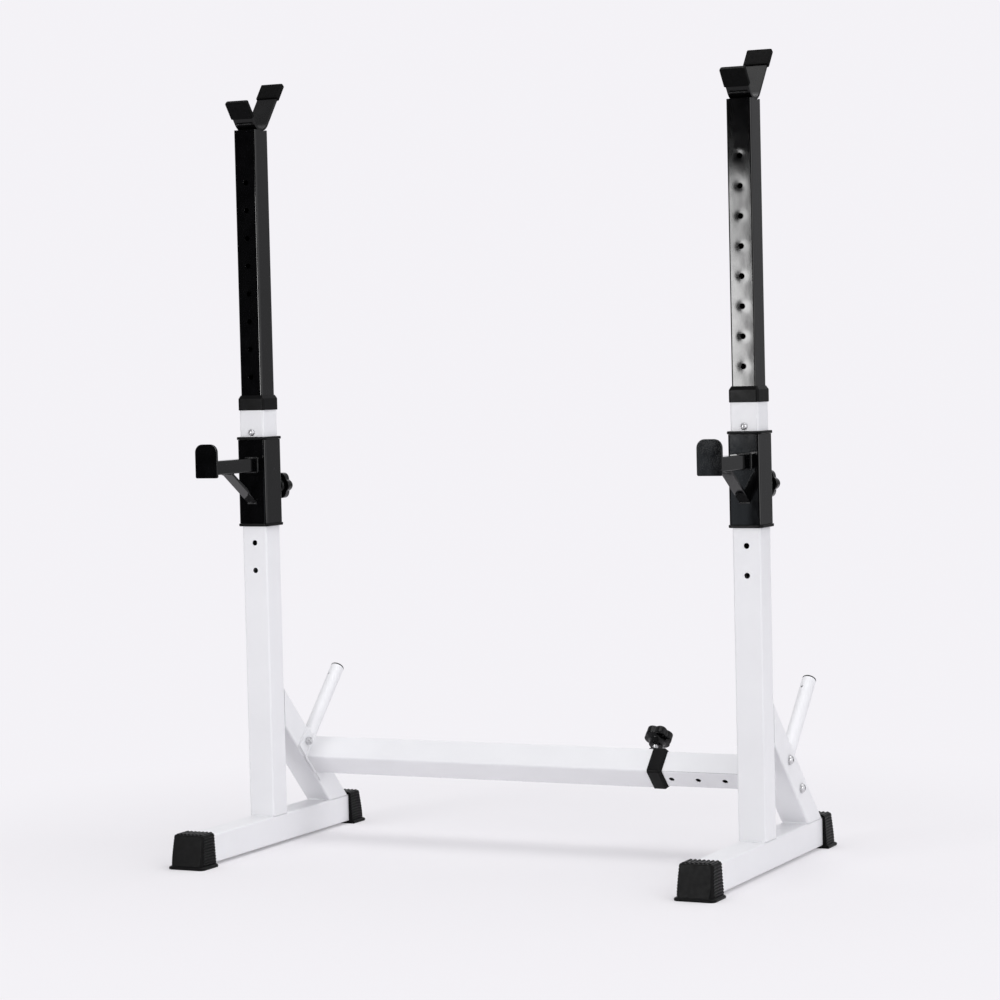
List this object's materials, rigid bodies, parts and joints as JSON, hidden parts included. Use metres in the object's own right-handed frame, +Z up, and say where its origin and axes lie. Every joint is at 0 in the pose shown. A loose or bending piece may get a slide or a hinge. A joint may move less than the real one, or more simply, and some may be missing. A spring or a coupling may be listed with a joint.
{
  "type": "squat rack",
  "caption": "Free-standing squat rack: two square-tube side frames on a telescoping crossbeam, with height-adjustable bar cradles, sliding safety hooks and weight pegs.",
  "frame": {"origin": "on the floor at the middle of the footprint", "axes": "+X along the crossbeam to the side with the thinner beam tube, +Z up, -Y towards the lifter"},
  "size_m": [1.023, 0.6, 1.3877],
  "materials": {
    "frame_enamel": "smooth white powder coat, slight orange peel",
    "black_enamel": "glossy black enamel",
    "black_plastic": "satin moulded plastic",
    "foot_rubber": "matte ribbed rubber",
    "pad_rubber": "matte rubber",
    "zinc_steel": "zinc plated"
  },
  "bodies": {
    "left_frame": {"left_base_tube": "frame_enamel", "left_front_foot": "foot_rubber", "left_rear_foot": "foot_rubber", "left_upright": "frame_enamel", "left_collar": "black_plastic", "left_brace": "frame_enamel", "left_weight_peg": "frame_enamel", "left_peg_cap": "black_plastic", "left_upper_beam_bolt": "zinc_steel", "left_lower_beam_bolt": "zinc_steel", "left_upper_beam_nut": "zinc_steel", "left_lower_beam_nut": "zinc_steel", "beam_left_plate": "frame_enamel", "beam_outer": "frame_enamel", "beam_collar": "black_plastic", "beam_boss": "black_enamel"},
    "right_frame": {"right_base_tube": "frame_enamel", "right_front_foot": "foot_rubber", "right_rear_foot": "foot_rubber", "right_upright": "frame_enamel", "right_collar": "black_plastic", "right_brace": "frame_enamel", "right_weight_peg": "frame_enamel", "right_peg_cap": "black_plastic", "right_upper_beam_bolt": "zinc_steel", "right_lower_beam_bolt": "zinc_steel", "right_upper_beam_nut": "zinc_steel", "right_lower_beam_nut": "zinc_steel", "beam_right_plate": "frame_enamel", "beam_inner": "frame_enamel"},
    "left_pin": {"left_height_pin": "zinc_steel"},
    "left_post": {"left_post": "black_enamel", "left_rest_cradle": "black_enamel", "left_front_prong_cap": "pad_rubber", "left_rear_prong_cap": "pad_rubber"},
    "left_slider": {"left_slider_sleeve": "black_enamel", "left_slider_top_rim": "black_plastic", "left_slider_bottom_rim": "black_plastic", "left_hook_arm": "black_enamel", "left_hook_plate": "black_enamel", "left_hook_strut": "black_enamel", "left_slider_boss": "black_enamel"},
    "left_stud": {"left_slider_stud": "zinc_steel"},
    "left_knob": {"left_slider_knob": "black_plastic"},
    "right_pin": {"right_height_pin": "zinc_steel"},
    "right_post": {"right_post": "black_enamel", "right_rest_cradle": "black_enamel", "right_front_prong_cap": "pad_rubber", "right_rear_prong_cap": "pad_rubber"},
    "right_slider": {"right_slider_sleeve": "black_enamel", "right_slider_top_rim": "black_plastic", "right_slider_bottom_rim": "black_plastic", "right_hook_arm": "black_enamel", "right_hook_plate": "black_enamel", "right_hook_strut": "black_enamel", "right_slider_boss": "black_enamel"},
    "right_stud": {"right_slider_stud": "zinc_steel"},
    "right_knob": {"right_slider_knob": "black_plastic"},
    "beam_stud": {"beam_stud": "zinc_steel"},
    "beam_knob": {"beam_knob": "black_plastic"}
  },
  "joints": [
    {"name": "beam_slide", "type": "slide", "parent": "left_frame", "child": "right_frame", "axis": [1, 0, 0], "range_m": [-0.15, 0.15]},
    {"name": "left_post_slide", "type": "slide", "parent": "left_frame", "child": "left_post", "axis": [0, 0, 1], "range_m": [-0.45, 0.2]},
    {"name": "left_slider_slide", "type": "slide", "parent": "left_frame", "child": "left_slider", "axis": [0, 0, 1], "range_m": [-0.15, 0]},
    {"name": "left_pin_pull", "type": "slide", "parent": "left_frame", "child": "left_pin", "axis": [0, -1, 0], "range_m": [0, 0.012]},
    {"name": "left_screw_travel", "type": "slide", "parent": "left_slider", "child": "left_stud", "axis": [0, -1, 0], "range_m": [0, 0.0075]},
    {"name": "left_knob_turn", "type": "hinge", "parent": "left_stud", "child": "left_knob", "pos_m": [-0.475, 0.0595, 0.653], "axis": [0, -1, 0], "range_deg": [0, 1800]},
    {"name": "right_post_slide", "type": "slide", "parent": "right_frame", "child": "right_post", "axis": [0, 0, 1], "range_m": [-0.45, 0.2]},
    {"name": "right_slider_slide", "type": "slide", "parent": "right_frame", "child": "right_slider", "axis": [0, 0, 1], "range_m": [-0.15, 0]},
    {"name": "right_pin_pull", "type": "slide", "parent": "right_frame", "child": "right_pin", "axis": [0, -1, 0], "range_m": [0, 0.012]},
    {"name": "right_screw_travel", "type": "slide", "parent": "right_slider", "child": "right_stud", "axis": [0, -1, 0], "range_m": [0, 0.0075]},
    {"name": "right_knob_turn", "type": "hinge", "parent": "right_stud", "child": "right_knob", "pos_m": [0.475, 0.0595, 0.653], "axis": [0, -1, 0], "range_deg": [0, 1800]},
    {"name": "beam_screw_travel", "type": "slide", "parent": "left_frame", "child": "beam_stud", "axis": [0, -0.7071, -0.7071], "range_m": [0, 0.0075]},
    {"name": "beam_knob_turn", "type": "hinge", "parent": "beam_stud", "child": "beam_knob", "pos_m": [0.226, 0.16467, 0.19667], "axis": [0, -0.7071, -0.7071], "range_deg": [0, 1800]}
  ],
  "couplings": [
    {"joint": "left_knob_turn", "follows": "left_screw_travel", "rad_per_m": 4188.8},
    {"joint": "right_knob_turn", "follows": "right_screw_travel", "rad_per_m": 4188.8},
    {"joint": "beam_knob_turn", "follows": "beam_screw_travel", "rad_per_m": 4188.8}
  ]
}
